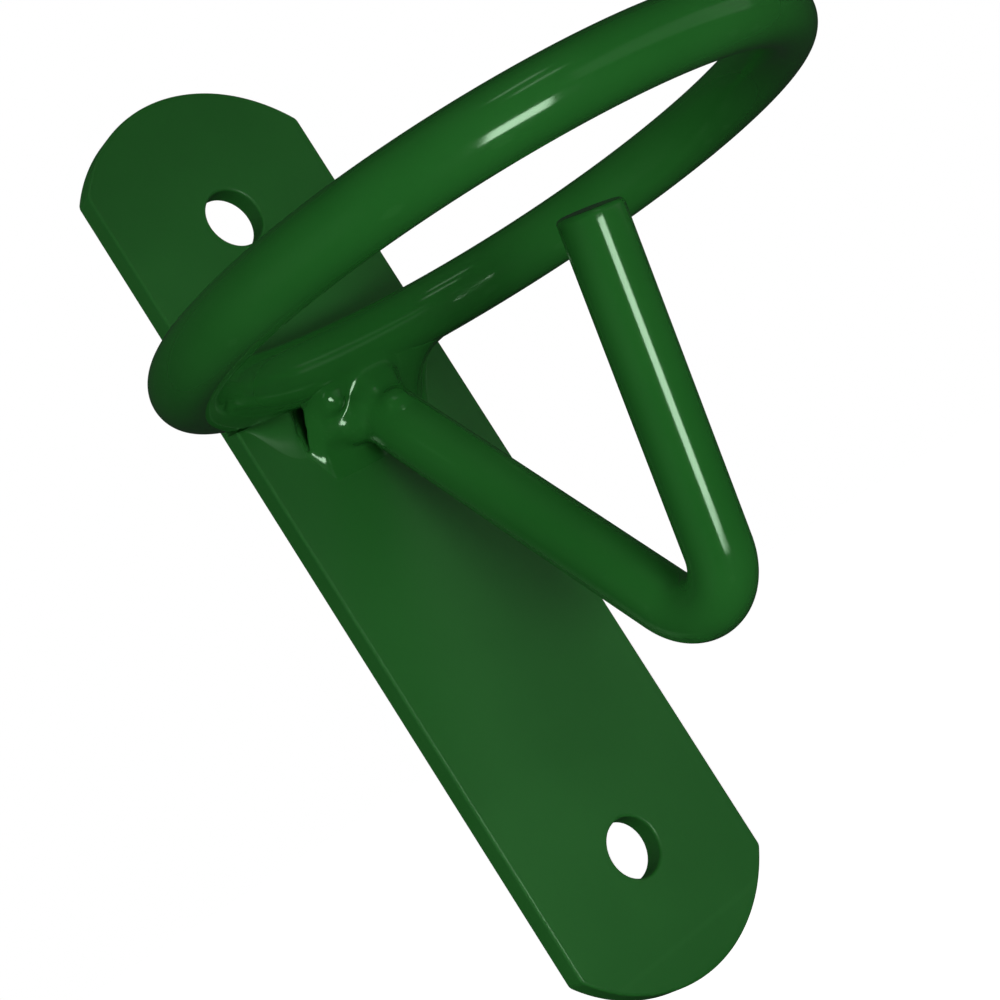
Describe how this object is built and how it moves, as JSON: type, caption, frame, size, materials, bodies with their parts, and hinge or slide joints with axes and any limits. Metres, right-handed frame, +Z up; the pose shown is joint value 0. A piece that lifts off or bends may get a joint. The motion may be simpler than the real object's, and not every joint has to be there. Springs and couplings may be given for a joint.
{
  "type": "ring and hook wall bracket",
  "caption": "Green painted steel wall bracket: a rounded back plate with screw holes, a ring standing straight out from it, and a V-shaped hook under the ring.",
  "frame": {"origin": "middle of the plate's back face, on the wall, halfway between the two screw holes", "axes": "+X to the right as one faces the wall, +Y into the wall, +Z up"},
  "size_m": [0.085, 0.0886, 0.13],
  "materials": {
    "plate_paint": "glossy dark green powder coat on flat steel",
    "bar_paint": "glossy dark green powder coat on round steel bar",
    "weld_paint": "glossy dark green powder coat over lumpy weld metal"
  },
  "bodies": {
    "root": {"back_plate": "plate_paint", "ring": "bar_paint", "hook": "bar_paint", "ring_joint_weld": "weld_paint", "weld_left": "weld_paint", "weld_right": "weld_paint", "weld_crown": "weld_paint"}
  },
  "joints": []
}
